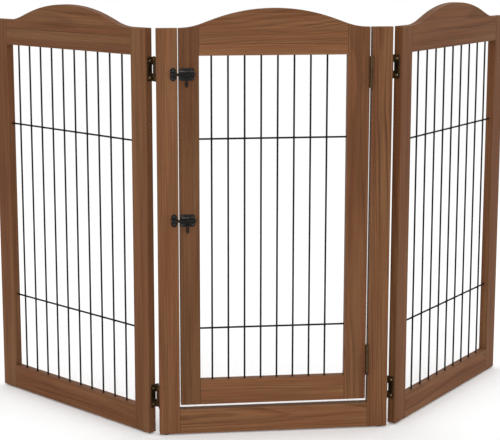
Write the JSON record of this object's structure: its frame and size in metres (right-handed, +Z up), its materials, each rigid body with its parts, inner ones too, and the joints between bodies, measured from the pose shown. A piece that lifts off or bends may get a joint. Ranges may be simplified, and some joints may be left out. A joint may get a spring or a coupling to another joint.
{
  "type": "pet gate",
  "caption": "Free-standing folding pet gate: arched wooden panels with upright wire bars, side wings that fold back, and a walk-through door held by barrel bolts.",
  "frame": {"origin": "middle of the bounding box, on the floor", "axes": "+X along the centre panel to the right seen from the front, +Y to the back where the wings point, +Z up"},
  "size_m": [1.2026, 0.4022, 0.915],
  "materials": {
    "walnut_stain": "walnut stain under satin lacquer",
    "dowel_wood": "unfinished beech",
    "bar_black": "black satin powder coat",
    "hinge_bronze": "dark antique bronze",
    "hinge_screw": "worn antique bronze",
    "latch_black": "black satin lacquer",
    "latch_screw": "black, worn on the heads",
    "glide_brown": "dark brown moulded plastic",
    "pin_steel": "bronze-plated steel"
  },
  "bodies": {
    "centre_frame": {"left_post": "walnut_stain", "right_post": "walnut_stain", "frame_bottom_rail": "walnut_stain", "frame_dowels": "dowel_wood", "frame_glides": "glide_brown", "left_upper_fixed_leaf": "hinge_bronze", "left_lower_fixed_leaf": "hinge_bronze", "right_upper_fixed_leaf": "hinge_bronze", "right_lower_fixed_leaf": "hinge_bronze", "door_upper_fixed_leaf": "hinge_bronze", "door_lower_fixed_leaf": "hinge_bronze", "left_hinge_pins": "pin_steel", "right_hinge_pins": "pin_steel", "door_hinge_pins": "pin_steel", "upper_keeper": "latch_black", "lower_keeper": "latch_black", "frame_hinge_screws": "hinge_screw", "keeper_screws": "latch_screw"},
    "door": {"door_latch_stile": "walnut_stain", "door_hinge_stile": "walnut_stain", "door_bottom_rail": "walnut_stain", "door_top_strip": "walnut_stain", "door_crest": "walnut_stain", "door_dowels": "dowel_wood", "door_upright_wires": "bar_black", "door_level_wires": "bar_black", "door_upper_moving_leaf": "hinge_bronze", "door_lower_moving_leaf": "hinge_bronze", "upper_bolt_case": "latch_black", "lower_bolt_case": "latch_black", "door_hinge_screws": "hinge_screw", "case_screws": "latch_screw"},
    "upper_bolt": {"upper_bolt": "latch_black"},
    "upper_knob": {"upper_knob": "latch_black"},
    "lower_bolt": {"lower_bolt": "latch_black"},
    "lower_knob": {"lower_knob": "latch_black"},
    "left_wing": {"left_wing_near_stile": "walnut_stain", "left_wing_far_stile": "walnut_stain", "left_wing_bottom_rail": "walnut_stain", "left_wing_top_strip": "walnut_stain", "left_wing_crest": "walnut_stain", "left_wing_dowels": "dowel_wood", "left_wing_upright_wires": "bar_black", "left_wing_level_wires": "bar_black", "left_wing_glides": "glide_brown", "left_wing_screws": "hinge_screw", "left_wing_upper_leaf": "hinge_bronze", "left_wing_lower_leaf": "hinge_bronze"},
    "right_wing": {"right_wing_near_stile": "walnut_stain", "right_wing_far_stile": "walnut_stain", "right_wing_bottom_rail": "walnut_stain", "right_wing_top_strip": "walnut_stain", "right_wing_crest": "walnut_stain", "right_wing_dowels": "dowel_wood", "right_wing_upright_wires": "bar_black", "right_wing_level_wires": "bar_black", "right_wing_glides": "glide_brown", "right_wing_screws": "hinge_screw", "right_wing_upper_leaf": "hinge_bronze", "right_wing_lower_leaf": "hinge_bronze"}
  },
  "joints": [
    {"name": "door_swing", "type": "hinge", "parent": "centre_frame", "child": "door", "pos_m": [0.20175, -0.19373, 0.468], "axis": [0, 0, 1], "range_deg": [0, 170]},
    {"name": "left_wing_fold", "type": "hinge", "parent": "centre_frame", "child": "left_wing", "pos_m": [-0.251, -0.16703, 0.437], "axis": [0, 0, -1], "range_deg": [-48, 131]},
    {"name": "right_wing_fold", "type": "hinge", "parent": "centre_frame", "child": "right_wing", "pos_m": [0.251, -0.16703, 0.437], "axis": [0, 0, 1], "range_deg": [-48, 48]},
    {"name": "upper_bolt_slide", "type": "slide", "parent": "door", "child": "upper_bolt", "axis": [1, 0, 0], "range_m": [-0.011, 0.009]},
    {"name": "upper_knob_turn", "type": "hinge", "parent": "upper_bolt", "child": "upper_knob", "pos_m": [-0.1858, -0.19573, 0.78], "axis": [-1, 0, 0], "range_deg": [0, 90]},
    {"name": "lower_bolt_slide", "type": "slide", "parent": "door", "child": "lower_bolt", "axis": [1, 0, 0], "range_m": [-0.011, 0.009]},
    {"name": "lower_knob_turn", "type": "hinge", "parent": "lower_bolt", "child": "lower_knob", "pos_m": [-0.1858, -0.19573, 0.472], "axis": [-1, 0, 0], "range_deg": [0, 90]}
  ]
}
